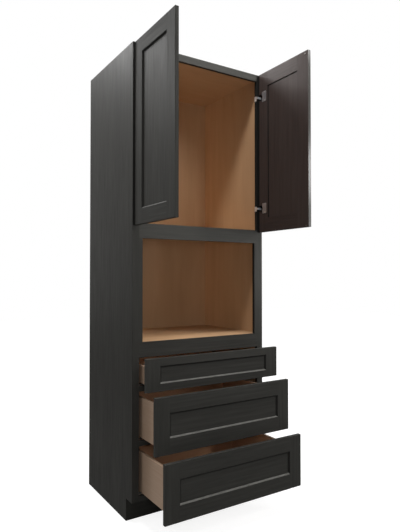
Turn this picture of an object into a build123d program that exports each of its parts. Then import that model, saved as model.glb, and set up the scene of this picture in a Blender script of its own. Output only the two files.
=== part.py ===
from build123d import *
import os

# A tall kitchen cabinet for a built-in oven: a compartment with two framed doors above, an open oven
# bay in the middle and three drawers below, with a black-brown face frame and full overlay fronts.
# Millimetres. X runs to the right as seen from the front, Y to the back and Z up. The origin is on the
# floor, in the middle of the width and of the depth that the cabinet takes with its doors open.
# It stands as photographed: both doors at a right angle and the drawers pulled out in steps.

os.makedirs("parts", exist_ok=True)

# Overall size of the case with its face frame
width = 838.2
height = 2438.4
depth = 609.6

# Case boards, and the grooves that the boards sit in
board = 12.7
housing_depth = 6.35
toe_height = 114.3
toe_recess = 71.4

# Face frame of solid wood
frame_thickness = 19.05
stile_width = 38.1
oven_strip_width = 19.05
top_rail_height = 38.1
middle_rail_height = 76.2
oven_rail_height = 76.2
drawer_rail_height = 25.4
bottom_rail_height = 25.4
oven_opening_height = 529.6
tenon_length = 12.7
tenon_thickness = 9.5
tenon_shoulder = 5.0
frame_edge_radius = 1.0

# Doors and drawer fronts: where they sit over the face frame when closed
side_reveal = 9.5
door_centre_gap = 3.2
door_top_reveal = 3.2
door_lap = 12.7
drawer_front_gap = 4.5
front_drop = 5.1
front_rise = 12.6
closed_gap = 3.0
shallow_front_height = 162.2
deep_front_height = 270.6

# Framed fronts: bars with a bevelled inner edge round a floating flat panel
front_thickness = 19.05
bar_face = 76.2
shallow_bar_face = 38.1
bevel = 6.35
panel_setback = 8.0
panel_thickness = 6.4
panel_groove_depth = 9.5
panel_float = 0.8
front_edge_radius = 1.5

# Drawer boxes
box_wall = 15.9
box_length = 533.4
box_side_gap = 19.05
box_lift = 12.7
shallow_box_height = 88.9
deep_box_height = 200.0
box_bottom_thickness = 6.35
box_bottom_rise = 12.7
box_groove_depth = 6.35
box_rim_radius = 2.0
dovetail_pitch = 25.0
dovetail_narrow = 5.0
dovetail_wide = 9.0

# How far each drawer is pulled out from closed
top_pull = 116.1
middle_pull = 211.9
bottom_pull = 306.8

# Cup hinges with a single pin, screwed to the inner edge of a stile
hinge_inset = 138.0
pin_inset = 7.9
pin_radius = 1.5
pin_bore_clearance = 0.05
knuckle_radius = 2.4
cup_radius = 17.4
cup_tab = 3.0
cup_depth = 14.7
cup_wall = 0.8
cup_fit = 0.1
cup_hole_floor_gap = 0.3
ear_thickness = 1.5
ear_gap = 0.5
ear_height = 5.5
ear_width = 4.8
flange_thickness = 1.2
flange_start = 33.0
flange_end = 69.0
flange_half_height = 30.0
flange_corner_radius = 6.0
flange_ring = 1.6
cup_screw_across = 57.0
cup_screw_spread = 24.0
arm_thickness = 1.4
arm_width = 12.0
arm_floor_gap = 0.35
arm_reach = 34.1
arm_plate_height = 30.0
arm_plate_corner_radius = 4.0
arm_screw_spread = 9.5
arm_screw_back = 10.0

# Bumpers near the free corners of each door
bumper_radius = 4.5
bumper_squeeze = 0.2
bumper_dome = 1.2
bumper_across = 18.0
bumper_from_bottom = 6.35
bumper_from_top = 17.0

# Undermount slides of three telescoping members
slide_sheet = 1.5
slide_gap = 0.4
slide_inset = 4.0
slide_width = 34.0
slide_floor_clearance = 2.2
slide_lip = 4.0
slide_wall_height = 5.3
link_head_width = 25.0
link_web_spread = 15.0
link_set_back = 3.0
link_length = 500.0
runner_length = 488.0
slide_tab_width = 22.0
slide_tab_offset = 1.5
slide_tab_rise = 24.5
slide_ear_length = 26.0
slide_screw_low = 8.0
slide_screw_pitch = 10.0
bracket_wall = 2.0
bracket_plate = 3.0
bracket_rise = 36.0
bracket_grip = 12.0
bracket_screw_low = 18.0
bracket_screw_pitch = 12.0

# Screws: shank, head and the pilot hole round the shank
screw_radius = 1.7
screw_head_radius = 3.5
screw_head_height = 1.5
screw_slot = 0.9
screw_slot_length = 3.6
screw_slot_depth = 0.8
pilot_clearance = 0.15
short_screw = 10.0
front_screw = 25.0
front_screw_inset = 5.0
front_screw_from_rim = 22.0

# Levels, from the floor up
bottom_rail_top = toe_height + bottom_rail_height
bottom_front_low = bottom_rail_top - front_drop
middle_front_low = bottom_front_low + deep_front_height + drawer_front_gap
top_front_low = middle_front_low + deep_front_height + drawer_front_gap
lower_drawer_rail_top = middle_front_low + front_drop
upper_drawer_rail_top = top_front_low + front_drop
oven_rail_low = top_front_low + shallow_front_height - front_rise
oven_floor_top = oven_rail_low + oven_rail_height
middle_rail_low = oven_floor_top + oven_opening_height
upper_floor_top = middle_rail_low + middle_rail_height
top_rail_low = height - top_rail_height
door_low = upper_floor_top - door_lap
door_height = height - door_top_reveal - door_low

# Places across the width
opening_half = width / 2 - stile_width
oven_half = opening_half - oven_strip_width
inside_half = width / 2 - board
board_half = inside_half + housing_depth
door_width = (width - 2 * side_reveal - door_centre_gap) / 2
front_width = width - 2 * side_reveal
box_width = 2 * (opening_half - box_side_gap)
box_inside_half = box_width / 2 - box_wall

# Places from front to back: the open doors reach as far in front of the frame as they are wide
pin_depth = front_thickness - pin_inset
hinge_edge_gap = closed_gap + pin_depth - pin_inset
door_reach = door_width + hinge_edge_gap
frame_front = (door_reach - depth) / 2
frame_back = frame_front + frame_thickness
case_back = frame_front + depth
back_face = case_back - board

# The left hinge's pin line, and the closed door's back face
pin_x = -width / 2 + side_reveal + pin_inset
pin_y = frame_front - closed_gap - pin_depth
hinge_levels = (hinge_inset, door_height - hinge_inset)


def block(low, high, mode=Mode.ADD):
    """A rectangular block between two corners, in the piece being made."""
    with Locations(low):
        Box(*(Vector(*high) - Vector(*low)), align=(Align.MIN, Align.MIN, Align.MIN), mode=mode)


def save(piece, name):
    """Label a finished piece and write it to its own file."""
    piece.part.label = name
    export_step(piece.part, f"parts/{name}.step")


def mirrored(piece):
    """The same piece on the other side of the cabinet."""
    with BuildPart() as other:
        mirror(piece.part, about=Plane.YZ)
    return other


def placed(piece, planes):
    """Separate copies of a piece, one on each plane."""
    with BuildPart() as group:
        with Locations(*planes):
            add(piece)
    return group


def screw(length):
    """A pan-head screw: the head stands on the plane and the shank goes down from it."""
    with BuildPart() as piece:
        with BuildSketch(Plane.XZ):
            with BuildLine():
                Line((0, -length), (0, screw_head_height))
                ThreePointArc(
                    (0, screw_head_height),
                    (0.75 * screw_head_radius, 0.62 * screw_head_height),
                    (screw_head_radius, 0),
                )
                Polyline(
                    (screw_head_radius, 0),
                    (screw_radius, 0),
                    (screw_radius, -length + screw_radius),
                    (0, -length),
                )
            make_face()
        revolve(axis=Axis.Z)
        with BuildSketch(Plane.XY.offset(screw_head_height - screw_slot_depth)):
            Rectangle(screw_slot_length, screw_slot)
            Rectangle(screw_slot, screw_slot_length)
        extrude(amount=screw_slot_depth, mode=Mode.SUBTRACT)
    return piece


def pilot(length):
    """The hole that a screw needs, a little wider and deeper than its shank."""
    with BuildPart() as hole:
        with BuildSketch(Plane.XY):
            Circle(screw_radius + pilot_clearance)
        extrude(amount=-(length + pilot_clearance))
    return hole


# The face frame's rails, as levels of their lower and upper edges
rail_levels = {
    "top_rail": (top_rail_low, height),
    "middle_rail": (middle_rail_low, upper_floor_top),
    "oven_rail": (oven_rail_low, oven_floor_top),
    "upper_drawer_rail": (upper_drawer_rail_top - drawer_rail_height, upper_drawer_rail_top),
    "lower_drawer_rail": (lower_drawer_rail_top - drawer_rail_height, lower_drawer_rail_top),
    "bottom_rail": (toe_height, bottom_rail_top),
}
tenon_front = frame_front + (frame_thickness - tenon_thickness) / 2


def tenon_block(low, high, mode=Mode.ADD):
    """The tenons of one rail, or the mortises for them, as one bar through both ends."""
    block(
        (-opening_half - tenon_length, tenon_front, low + tenon_shoulder),
        (opening_half + tenon_length, tenon_front + tenon_thickness, high - tenon_shoulder),
        mode,
    )


def rail(*names):
    """One or more face-frame rails, each with a tenon at both ends."""
    with BuildPart() as piece:
        for low, high in (rail_levels[name] for name in names):
            block((-opening_half, frame_front, low), (opening_half, frame_back, high))
            tenon_block(low, high)
    return piece


# Planes that the hinges and slides are screwed on, looking along the screws
arm_screw_planes = [
    Plane(
        origin=(-opening_half + arm_thickness, frame_front + arm_screw_back, door_low + level + side),
        x_dir=(0, 1, 0),
        z_dir=(1, 0, 0),
    )
    for level in hinge_levels
    for side in (-arm_screw_spread, arm_screw_spread)
]

# Drawers: name, level of the opening's floor, height of the front, width of its bars across the grain,
# height of the box and how far it is pulled out
drawers = [
    ("top", upper_drawer_rail_top, shallow_front_height, shallow_bar_face, shallow_box_height, top_pull),
    ("middle", lower_drawer_rail_top, deep_front_height, bar_face, deep_box_height, middle_pull),
    ("bottom", bottom_rail_top, deep_front_height, bar_face, deep_box_height, bottom_pull),
]

# Slide members, measured inwards from the inner face of the box's side and up from the box's lower edge
slide_outer = box_inside_half - slide_inset
slide_centre = slide_outer - slide_width / 2
slide_low = slide_floor_clearance - box_lift
runner_top = box_bottom_rise
tab_inner = opening_half + slide_tab_offset
tab_outer = tab_inner + slide_tab_width
tab_centre = (tab_inner + tab_outer) / 2
channel_back = frame_back + box_length

slide_screw_planes = [
    Plane(
        origin=(-tab_centre, frame_back + slide_sheet, opening_floor + box_lift + slide_low + rise),
        x_dir=(-1, 0, 0),
        z_dir=(0, 1, 0),
    )
    for _, opening_floor, _, _, _, _ in drawers
    for rise in (slide_screw_low, slide_screw_low + slide_screw_pitch)
]
bracket_screw_planes = [
    Plane(
        origin=(-slide_centre, back_face - bracket_plate, opening_floor + box_lift + slide_low + rise),
        x_dir=(1, 0, 0),
        z_dir=(0, -1, 0),
    )
    for _, opening_floor, _, _, _, _ in drawers
    for rise in (bracket_screw_low, bracket_screw_low + bracket_screw_pitch)
]

# Side panels, cut away for the toe space and grooved for the boards between them
with BuildPart() as left_side_panel:
    with BuildSketch(Plane.YZ.offset(-width / 2)):
        with BuildLine():
            Polyline(
                (frame_front + toe_recess, 0),
                (case_back, 0),
                (case_back, height),
                (frame_back, height),
                (frame_back, toe_height),
                (frame_front + toe_recess, toe_height),
                close=True,
            )
        make_face()
    extrude(amount=board)
    for top in (height, upper_floor_top, oven_floor_top, bottom_rail_top):
        block((-board_half, frame_back, top - board), (-inside_half, back_face, top), Mode.SUBTRACT)
    block((-board_half, back_face, 0), (-inside_half, case_back, height), Mode.SUBTRACT)
right_side_panel = mirrored(left_side_panel)
save(left_side_panel, "left_side_panel")
save(right_side_panel, "right_side_panel")

# Boards between the sides
with BuildPart() as back_panel:
    block((-board_half, back_face, 0), (board_half, case_back, height))
    bracket_holes = [plane.offset(-bracket_plate) for plane in bracket_screw_planes]
    left_holes = placed(pilot(short_screw - bracket_plate), bracket_holes)
    add(left_holes, mode=Mode.SUBTRACT)
    add(mirrored(left_holes), mode=Mode.SUBTRACT)
save(back_panel, "back_panel")

for name, top in (
    ("top_panel", height),
    ("upper_floor", upper_floor_top),
    ("oven_floor", oven_floor_top),
    ("bottom_panel", bottom_rail_top),
):
    with BuildPart() as shelf:
        block((-board_half, frame_back, top - board), (board_half, back_face, top))
    save(shelf, name)

with BuildPart() as toe_kick_board:
    toe_front = frame_front + toe_recess
    block((-inside_half, toe_front, 0), (inside_half, toe_front + board, bottom_rail_top - board))
save(toe_kick_board, "toe_kick_board")

# Face frame
for name in ("top_rail", "middle_rail", "oven_rail", "bottom_rail"):
    save(rail(name), name)
save(rail("upper_drawer_rail", "lower_drawer_rail"), "drawer_rails")

with BuildPart() as left_stile:
    block((-width / 2, frame_front, toe_height), (-opening_half, frame_back, height))
    outer_edge = left_stile.edges().filter_by(Axis.Z).group_by(Axis.X)[0].sort_by(Axis.Y)[0]
    fillet(outer_edge, frame_edge_radius)
    for low, high in rail_levels.values():
        tenon_block(low, high, Mode.SUBTRACT)
    arm_holes = [plane.offset(-arm_thickness) for plane in arm_screw_planes]
    add(placed(pilot(short_screw - arm_thickness), arm_holes), mode=Mode.SUBTRACT)
    tab_holes = [plane.offset(-slide_sheet) for plane in slide_screw_planes]
    add(placed(pilot(short_screw - slide_sheet), tab_holes), mode=Mode.SUBTRACT)
with BuildPart() as stiles:
    add(left_stile)
    add(mirrored(left_stile))
save(stiles, "stiles")

# Strips that narrow the oven's opening, between its two rails
with BuildPart() as oven_strips:
    block((-opening_half, frame_front, oven_floor_top), (-oven_half, frame_back, middle_rail_low))
    mirror(about=Plane.YZ)
save(oven_strips, "oven_strips")


# Framed fronts
def bar_section(plane, face):
    """Section of a bar: square outer edge at zero, panel groove and bevel on the inner edge."""
    groove_high = front_thickness - panel_setback
    groove_low = groove_high - panel_thickness
    inner = face + bevel
    with BuildSketch(plane) as section:
        with BuildLine():
            Polyline(
                (0, 0),
                (inner, 0),
                (inner, groove_low),
                (inner - panel_groove_depth, groove_low),
                (inner - panel_groove_depth, groove_high),
                (inner, groove_high),
                (inner, front_thickness - bevel),
                (face, front_thickness),
                (0, front_thickness),
                close=True,
            )
        make_face()
    return section


def framed_front(plane, across, tall, rail_face):
    """Stiles, rails and panel of a front that lies with its back on the plane, from its low left corner."""
    stile_inner = bar_face + bevel
    rail_inner = rail_face + bevel
    tongue_start = stile_inner - panel_groove_depth
    end = plane.from_local_coords((across, 0, 0))
    top = plane.from_local_coords((0, tall, 0))
    with BuildPart() as blank:
        with BuildSketch(plane):
            Rectangle(across, tall, align=(Align.MIN, Align.MIN))
        extrude(amount=front_thickness)
        face = blank.faces().sort_by(Axis(plane.origin, plane.z_dir))[-1]
        fillet(face.edges(), front_edge_radius)

    with BuildPart() as stiles:
        near = Plane(origin=plane.origin, x_dir=plane.x_dir, z_dir=-plane.y_dir)
        far = Plane(origin=end, x_dir=-plane.x_dir, z_dir=plane.y_dir)
        extrude(bar_section(near, bar_face).sketch, amount=-tall)
        extrude(bar_section(far, bar_face).sketch, amount=tall)
        add(blank, mode=Mode.INTERSECT)

    with BuildPart() as rails:
        low = Plane(origin=plane.from_local_coords((tongue_start, 0, 0)), x_dir=plane.y_dir, z_dir=plane.x_dir)
        high = Plane(
            origin=plane.from_local_coords((across - tongue_start, tall, 0)),
            x_dir=-plane.y_dir,
            z_dir=-plane.x_dir,
        )
        length = across - 2 * tongue_start
        extrude(bar_section(low, rail_face).sketch, amount=length)
        extrude(bar_section(high, rail_face).sketch, amount=length)
        add(stiles, mode=Mode.SUBTRACT)
        add(blank, mode=Mode.INTERSECT)

    with BuildPart() as panel:
        edge = panel_groove_depth - panel_float
        with BuildSketch(plane.offset(front_thickness - panel_setback - panel_thickness)):
            with Locations((across / 2, tall / 2)):
                Rectangle(across - 2 * (stile_inner - edge), tall - 2 * (rail_inner - edge))
        extrude(amount=panel_thickness)
    return stiles, rails, panel


# The left door, open at a right angle: its plane runs from the hinge edge to the free edge
door_plane = Plane(
    origin=(pin_x + pin_depth, pin_y + pin_inset, door_low),
    x_dir=(0, -1, 0),
    z_dir=(-1, 0, 0),
)
cup_across = cup_tab + cup_radius + cup_fit
cup_places = [(cup_across, level) for level in hinge_levels]
cup_screw_places = [
    (cup_screw_across, level + side) for level in hinge_levels for side in (-cup_screw_spread, cup_screw_spread)
]
cup_screw_planes = [
    Plane(
        origin=door_plane.from_local_coords((across, level, -flange_thickness)),
        x_dir=door_plane.x_dir,
        z_dir=-door_plane.z_dir,
    )
    for across, level in cup_screw_places
]
door_stiles, door_rails, door_panel = framed_front(door_plane, door_width, door_height, bar_face)

with BuildPart() as bored_stiles:
    add(door_stiles)
    with BuildSketch(door_plane):
        with Locations(*cup_places):
            Circle(cup_radius + cup_fit)
    extrude(amount=cup_depth + cup_hole_floor_gap, mode=Mode.SUBTRACT)
    holes = [plane.offset(-flange_thickness) for plane in cup_screw_planes]
    add(placed(pilot(short_screw - flange_thickness), holes), mode=Mode.SUBTRACT)

# Hinge cups: a pressed shell with a flange on the door's back and two ears that hold the pin
with BuildPart() as hinge_cups:
    with BuildSketch(door_plane):
        with Locations(*cup_places):
            Circle(cup_radius)
    extrude(amount=cup_depth)
    with BuildSketch(door_plane.offset(-flange_thickness)):
        with Locations(*cup_places):
            Circle(cup_radius + flange_ring)
        with Locations(*[((flange_start + flange_end) / 2, level) for level in hinge_levels]):
            RectangleRounded(flange_end - flange_start, 2 * flange_half_height, flange_corner_radius)
    extrude(amount=flange_thickness)
    with BuildSketch(door_plane.offset(-flange_thickness)):
        with Locations(*cup_places):
            Circle(cup_radius - cup_wall)
    extrude(amount=flange_thickness + cup_depth - cup_wall, mode=Mode.SUBTRACT)
    ear_floor = cup_depth - cup_wall
    ear_shift = arm_width / 2 + ear_gap + ear_thickness / 2
    with BuildSketch(door_plane.offset(ear_floor - ear_height)):
        with Locations(*[(pin_inset, level + side) for level in hinge_levels for side in (-ear_shift, ear_shift)]):
            Rectangle(ear_width, ear_thickness)
    extrude(amount=ear_height)
    add(placed(pilot(short_screw), cup_screw_planes), mode=Mode.SUBTRACT)

# Pins, each in its cup's ears and through the arm's knuckle
pin_half = ear_shift + ear_thickness / 2
pin_planes = [
    Plane(origin=(pin_x, pin_y, door_low + level - pin_half), x_dir=(1, 0, 0), z_dir=(0, 0, 1))
    for level in hinge_levels
]
with BuildPart() as hinge_pins:
    for plane in pin_planes:
        with BuildSketch(plane):
            Circle(pin_radius)
        extrude(amount=2 * pin_half)

with BuildPart() as eared_cups:
    add(hinge_cups)
    for plane in pin_planes:
        with BuildSketch(plane):
            Circle(pin_radius + pin_bore_clearance)
        extrude(amount=2 * pin_half, mode=Mode.SUBTRACT)

# Bumpers that a closing door meets the frame with
with BuildPart() as door_bumpers:
    bumper_across_door = door_width - bumper_across
    with BuildSketch(door_plane):
        with Locations(
            (bumper_across_door, bumper_from_bottom),
            (bumper_across_door, door_height - bumper_from_top),
        ):
            Circle(bumper_radius)
    extrude(amount=-(closed_gap - bumper_squeeze))
    fillet(door_bumpers.faces().sort_by(Axis.X)[-2:].edges(), bumper_dome)

cup_screws = placed(screw(short_screw), cup_screw_planes)

for name, piece in (
    ("door_stiles", bored_stiles),
    ("door_rails", door_rails),
    ("door_panel", door_panel),
    ("hinge_cups", eared_cups),
    ("hinge_pins", hinge_pins),
    ("cup_screws", cup_screws),
    ("door_bumpers", door_bumpers),
):
    save(piece, f"left_{name}")
    save(mirrored(piece), f"right_{name}")

# Hinge arms: a plate on the stile's inner edge, a short leg in front of it, a rise into the cup and a
# run along its floor to the knuckle
arm_run_y = pin_y - (cup_depth - cup_wall - arm_floor_gap - pin_depth) + arm_thickness / 2
arm_rise_x = pin_x - pin_inset + arm_reach
arm_leg_y = frame_front - arm_thickness / 2
arm_plate_x = -opening_half + arm_thickness / 2
with BuildPart() as left_arms:
    for level in hinge_levels:
        middle = door_low + level
        with BuildSketch(Plane.XY.offset(middle - arm_width / 2)):
            with BuildLine():
                Polyline(
                    (pin_x, arm_run_y),
                    (arm_rise_x, arm_run_y),
                    (arm_rise_x, arm_leg_y),
                    (arm_plate_x, arm_leg_y),
                    (arm_plate_x, frame_back),
                )
            trace(line_width=arm_thickness)
            with Locations((pin_x, pin_y)):
                Circle(knuckle_radius)
                Circle(pin_radius + pin_bore_clearance, mode=Mode.SUBTRACT)
        extrude(amount=arm_width)
        with BuildSketch(Plane.YZ.offset(-opening_half)):
            with Locations(((frame_front + frame_back) / 2, middle)):
                RectangleRounded(frame_thickness, arm_plate_height, arm_plate_corner_radius)
        extrude(amount=arm_thickness)
    add(placed(pilot(short_screw), arm_screw_planes), mode=Mode.SUBTRACT)

with BuildPart() as hinge_arms:
    add(left_arms)
    add(mirrored(left_arms))
save(hinge_arms, "hinge_arms")


# Slides, drawn on the left side of the cabinet and mirrored to the right
def slide_section(plane, width_outside, low, high, lip, open_up):
    """A channel of bent sheet, open at its top or at its bottom, with lips turned in along the opening."""
    half = width_outside / 2
    floor = (low, low + slide_sheet) if open_up else (high - slide_sheet, high)
    rim = (high - slide_sheet, high) if open_up else (low, low + slide_sheet)
    with BuildSketch(plane) as section:
        with Locations((0, sum(floor) / 2)):
            Rectangle(width_outside, slide_sheet)
        for side in (-1, 1):
            with Locations((side * (half - slide_sheet / 2), (low + high) / 2)):
                Rectangle(slide_sheet, high - low)
            with Locations((side * (half - (slide_sheet + lip) / 2), sum(rim) / 2)):
                Rectangle(slide_sheet + lip, slide_sheet)
    return section


channel_top = slide_low + slide_wall_height
link_low = slide_low + slide_sheet + slide_gap
link_high = runner_top - slide_sheet - slide_gap
runner_low = link_high - slide_sheet - slide_gap - slide_sheet
link_foot_width = slide_width - 2 * (slide_sheet + slide_gap)
runner_width = link_head_width + 2 * (slide_gap + slide_sheet)
runner_lip = (runner_width - 2 * slide_sheet - link_web_spread) / 2 - slide_gap


def slide_plane(y, box_low):
    """The plane across a left slide at one depth, with its height measured from the box's lower edge."""
    return Plane(origin=(-slide_centre, y, box_low), x_dir=(1, 0, 0), z_dir=(0, -1, 0))


def slide_channel(box_low):
    """The fixed member, with an ear that reaches out to a tab on the back of the stile."""
    with BuildPart() as channel:
        section = slide_section(
            slide_plane(frame_back, box_low), slide_width, slide_low, channel_top, slide_lip, True
        )
        extrude(section.sketch, amount=-(channel_back - frame_back))
        low = box_low + slide_low
        block((-tab_outer, frame_back, low), (-slide_outer, frame_back + slide_ear_length, low + slide_sheet))
        block((-tab_outer, frame_back, low), (-tab_inner, frame_back + slide_sheet, low + slide_tab_rise))
    return channel


def slide_link(y, box_low):
    """The middle member: a foot held in the fixed channel, two webs and a head inside the runner."""
    with BuildPart() as link:
        with BuildSketch(slide_plane(y, box_low)):
            with Locations((0, link_low + slide_sheet / 2)):
                Rectangle(link_foot_width, slide_sheet)
            with Locations((0, link_high - slide_sheet / 2)):
                Rectangle(link_head_width, slide_sheet)
            for side in (-1, 1):
                web = side * (link_web_spread - slide_sheet) / 2
                with Locations((web, (link_low + link_high) / 2)):
                    Rectangle(slide_sheet, link_high - link_low)
        extrude(amount=-link_length)
    return link


def slide_runner(y, box_low):
    """The member under the drawer's bottom, hooked under the link's head."""
    with BuildPart() as runner:
        section = slide_section(
            slide_plane(y, box_low), runner_width, runner_low, runner_top, runner_lip, False
        )
        extrude(section.sketch, amount=-runner_length)
    return runner


def slide_bracket(box_low):
    """The rear socket: a tray round the end of the fixed member and a plate on the back panel."""
    tray_half = slide_width / 2 + bracket_wall
    low = box_low + slide_low
    with BuildPart() as bracket:
        block(
            (-slide_centre - tray_half, channel_back - bracket_grip, low - bracket_wall),
            (-slide_centre + tray_half, back_face, low + slide_wall_height),
        )
        block(
            (-slide_centre - slide_width / 2, channel_back - bracket_grip, low),
            (-slide_centre + slide_width / 2, back_face - bracket_plate, low + slide_wall_height),
            Mode.SUBTRACT,
        )
        block(
            (-slide_centre - tray_half, back_face - bracket_plate, low - bracket_wall),
            (-slide_centre + tray_half, back_face, low + bracket_rise),
        )
    return bracket


# Drawers: front, box and the slide members that belong to each
def box_sockets(y, pointing, box_low, box_height):
    """The dovetail sockets at one end of a box side, narrow at the end and wide inside."""
    count = max(2, round(box_height / dovetail_pitch))
    pitch = box_height / count
    centres = [(y, box_low + pitch * (i + 0.5)) for i in range(count)]
    depth_in = pointing * box_wall
    narrow = dovetail_narrow / 2
    wide = dovetail_wide / 2
    with BuildSketch(Plane.YZ.offset(-box_width / 2)) as sockets:
        with Locations(*centres):
            Polygon((0, -narrow), (depth_in, -wide), (depth_in, wide), (0, narrow), align=None)
    return sockets


def make_drawer(name, opening_floor, front_height, rail_face, box_height, pulled):
    """Build one drawer at its pulled-out place and write its pieces."""
    box_low = opening_floor + box_lift
    box_high = box_low + box_height
    box_front = frame_front - closed_gap - pulled
    box_back = box_front + box_length
    front_plane = Plane(
        origin=(-front_width / 2, box_front, opening_floor - front_drop),
        x_dir=(1, 0, 0),
        z_dir=(0, -1, 0),
    )
    front_stiles, front_rails, front_panel = framed_front(front_plane, front_width, front_height, rail_face)

    bottom_low = box_low + box_bottom_rise
    groove_half = box_inside_half + box_groove_depth
    with BuildPart() as box_bottom:
        block(
            (-groove_half, box_front + box_wall - box_groove_depth, bottom_low),
            (groove_half, box_back - box_wall + box_groove_depth, bottom_low + box_bottom_thickness),
        )

    with BuildPart() as square_sides:
        block((-box_width / 2, box_front, box_low), (-box_inside_half, box_back, box_high))
        for y, pointing in ((box_front, 1), (box_back, -1)):
            sockets = box_sockets(y, pointing, box_low, box_height)
            extrude(sockets.sketch, amount=box_wall, mode=Mode.SUBTRACT)
        mirror(about=Plane.YZ)
        add(box_bottom, mode=Mode.SUBTRACT)
    with BuildPart() as box_sides:
        add(square_sides)
        fillet(box_sides.edges().group_by(Axis.Z)[-1].filter_by(Axis.Y), box_rim_radius)

    notch_outer = box_inside_half
    notch_inner = slide_outer - slide_width - slide_inset
    with BuildPart() as box_ends:
        for y in (box_front, box_back - box_wall):
            block((-box_width / 2, y, box_low), (box_width / 2, y + box_wall, box_high))
        for low_x, high_x in ((-notch_outer, -notch_inner), (notch_inner, notch_outer)):
            block((low_x, box_back - box_wall, box_low), (high_x, box_back, bottom_low), Mode.SUBTRACT)
        add(square_sides, mode=Mode.SUBTRACT)
        add(box_bottom, mode=Mode.SUBTRACT)
        fillet(box_ends.edges().group_by(Axis.Z)[-1].filter_by(Axis.X), box_rim_radius)

    screw_planes = [
        Plane(
            origin=(side * (box_inside_half - front_screw_inset), box_front + box_wall, level),
            x_dir=(-1, 0, 0),
            z_dir=(0, 1, 0),
        )
        for side in (-1, 1)
        for level in (bottom_low + box_bottom_thickness + front_screw_from_rim / 2, box_high - front_screw_from_rim)
    ]
    screws = placed(screw(front_screw), screw_planes)
    pilots = placed(pilot(front_screw), screw_planes)
    with BuildPart() as drilled_stiles:
        add(front_stiles)
        add(pilots, mode=Mode.SUBTRACT)
    with BuildPart() as drilled_ends:
        add(box_ends)
        add(pilots, mode=Mode.SUBTRACT)

    runner = slide_runner(box_front + box_wall, box_low)
    with BuildPart() as runners:
        add(runner)
        add(mirrored(runner))
    link = slide_link(frame_back + link_set_back - pulled / 2, box_low)
    with BuildPart() as links:
        add(link)
        add(mirrored(link))

    save(drilled_stiles, f"{name}_front_stiles")
    save(front_rails, f"{name}_front_rails")
    save(front_panel, f"{name}_front_panel")
    save(box_sides, f"{name}_box_sides")
    save(drilled_ends, f"{name}_box_ends")
    save(box_bottom, f"{name}_box_bottom")
    save(screws, f"{name}_front_screws")
    save(runners, f"{name}_box_runners")
    save(links, f"{name}_slide_links")


for drawer in drawers:
    make_drawer(*drawer)

# Slide members and brackets that stay in the case, and the screws that hold them and the hinge arms
with BuildPart() as left_channels:
    for _, opening_floor, _, _, _, _ in drawers:
        add(slide_channel(opening_floor + box_lift))
    add(placed(pilot(short_screw), slide_screw_planes), mode=Mode.SUBTRACT)
with BuildPart() as slide_channels:
    add(left_channels)
    add(mirrored(left_channels))
save(slide_channels, "slide_channels")

with BuildPart() as left_brackets:
    for _, opening_floor, _, _, _, _ in drawers:
        add(slide_bracket(opening_floor + box_lift))
    add(placed(pilot(short_screw), bracket_screw_planes), mode=Mode.SUBTRACT)
with BuildPart() as slide_rear_brackets:
    add(left_brackets)
    add(mirrored(left_brackets))
save(slide_rear_brackets, "slide_rear_brackets")

left_screws = placed(screw(short_screw), arm_screw_planes + slide_screw_planes + bracket_screw_planes)
with BuildPart() as mounting_screws:
    add(left_screws)
    add(mirrored(left_screws))
save(mounting_screws, "mounting_screws")
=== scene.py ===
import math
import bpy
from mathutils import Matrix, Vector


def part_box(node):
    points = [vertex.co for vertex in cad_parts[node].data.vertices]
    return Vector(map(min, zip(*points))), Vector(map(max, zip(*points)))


bl_info = {
    "name": "Tall oven cabinet",
    "version": (1, 0, 0),
    "blender": (4, 5, 0),
    "location": "3D View > Sidebar > Cabinet",
    "description": "Stain, veneer, lacquer and plating of a tall oven cabinet, with its studio",
    "category": "Object",
}

import bmesh
import bpy
from bpy.props import FloatProperty, FloatVectorProperty, PointerProperty
from bpy.types import Operator, Panel, PropertyGroup
from mathutils import Euler, Vector

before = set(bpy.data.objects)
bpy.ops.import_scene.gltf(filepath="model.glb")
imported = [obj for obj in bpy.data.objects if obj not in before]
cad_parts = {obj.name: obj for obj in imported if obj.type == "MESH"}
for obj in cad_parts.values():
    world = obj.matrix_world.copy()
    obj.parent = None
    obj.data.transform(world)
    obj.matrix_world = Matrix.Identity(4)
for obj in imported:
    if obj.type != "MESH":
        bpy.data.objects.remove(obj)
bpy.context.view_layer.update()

DOORS = ("left", "right")
DRAWERS = ("top", "middle", "bottom")
# Far corners of a side panel and of a door.
SIDE_LOW, SIDE_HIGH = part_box("left_side_panel")
DOOR_LOW, DOOR_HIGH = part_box("right_door_stiles")

# How deep a panel sits in the grooves of its frame.
IN_GROOVE = Vector((0.0087, 0.0087, 0.0087))
# The veneer starts this far inside the outer face of a side panel, under the stain.
STAIN_DEPTH = 0.001
# A hair's breadth, by which a face that lies in a plane is told from one behind it.
HAIR = 0.0001

# Specular levels of the finishes.
STAIN_GLOSS = 0.05
SIDE_GLOSS = 0.045
BOARD_GLOSS = 0.10
BOX_GLOSS = 0.15
METAL_GLOSS = 0.5
MOULDED_GLOSS = 0.4

# Roughness of the clear lacquer on the doors.
SATIN_LACQUER = 0.20
MATT_LACQUER = 0.42

# Coat weight of the lacquer on the doors' inner sides and on the right door's free edge.
STILE_SHEEN = 0.03
RAIL_SHEEN = 0.05
PANEL_SHEEN = 0.07
EDGE_SHEEN = 0.3

# What a door's head gains in roughness, and what its colour keeps under the painted shade that
# darkens it.
MATT_HEAD = 0.13
HEAD_SHADE = 0.88

# How strong the painted highlight on the up-facing bevels of the doors' rails is, where 1 is as
# strong as on other pieces.
RAIL_HIGHLIGHT = 0.35

# How much painted shade, in the darkest colour, shows on the bevels that don't face up, and on a
# door's hinge edge, the steps round its panel and the stiles' strips beside it.
BEVEL_SHADE = 0.7
DOOR_SHADE = 0.9

# How dark the darker patches of metal, plastic and rubber are.
PATCHES = 0.82

# How far the growth rings wander, in metres: in stained wood, in veneer and in box wood.
STAINED_WANDER = 0.03
VENEER_WANDER = 0.16
BOX_WANDER = 0.035

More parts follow.
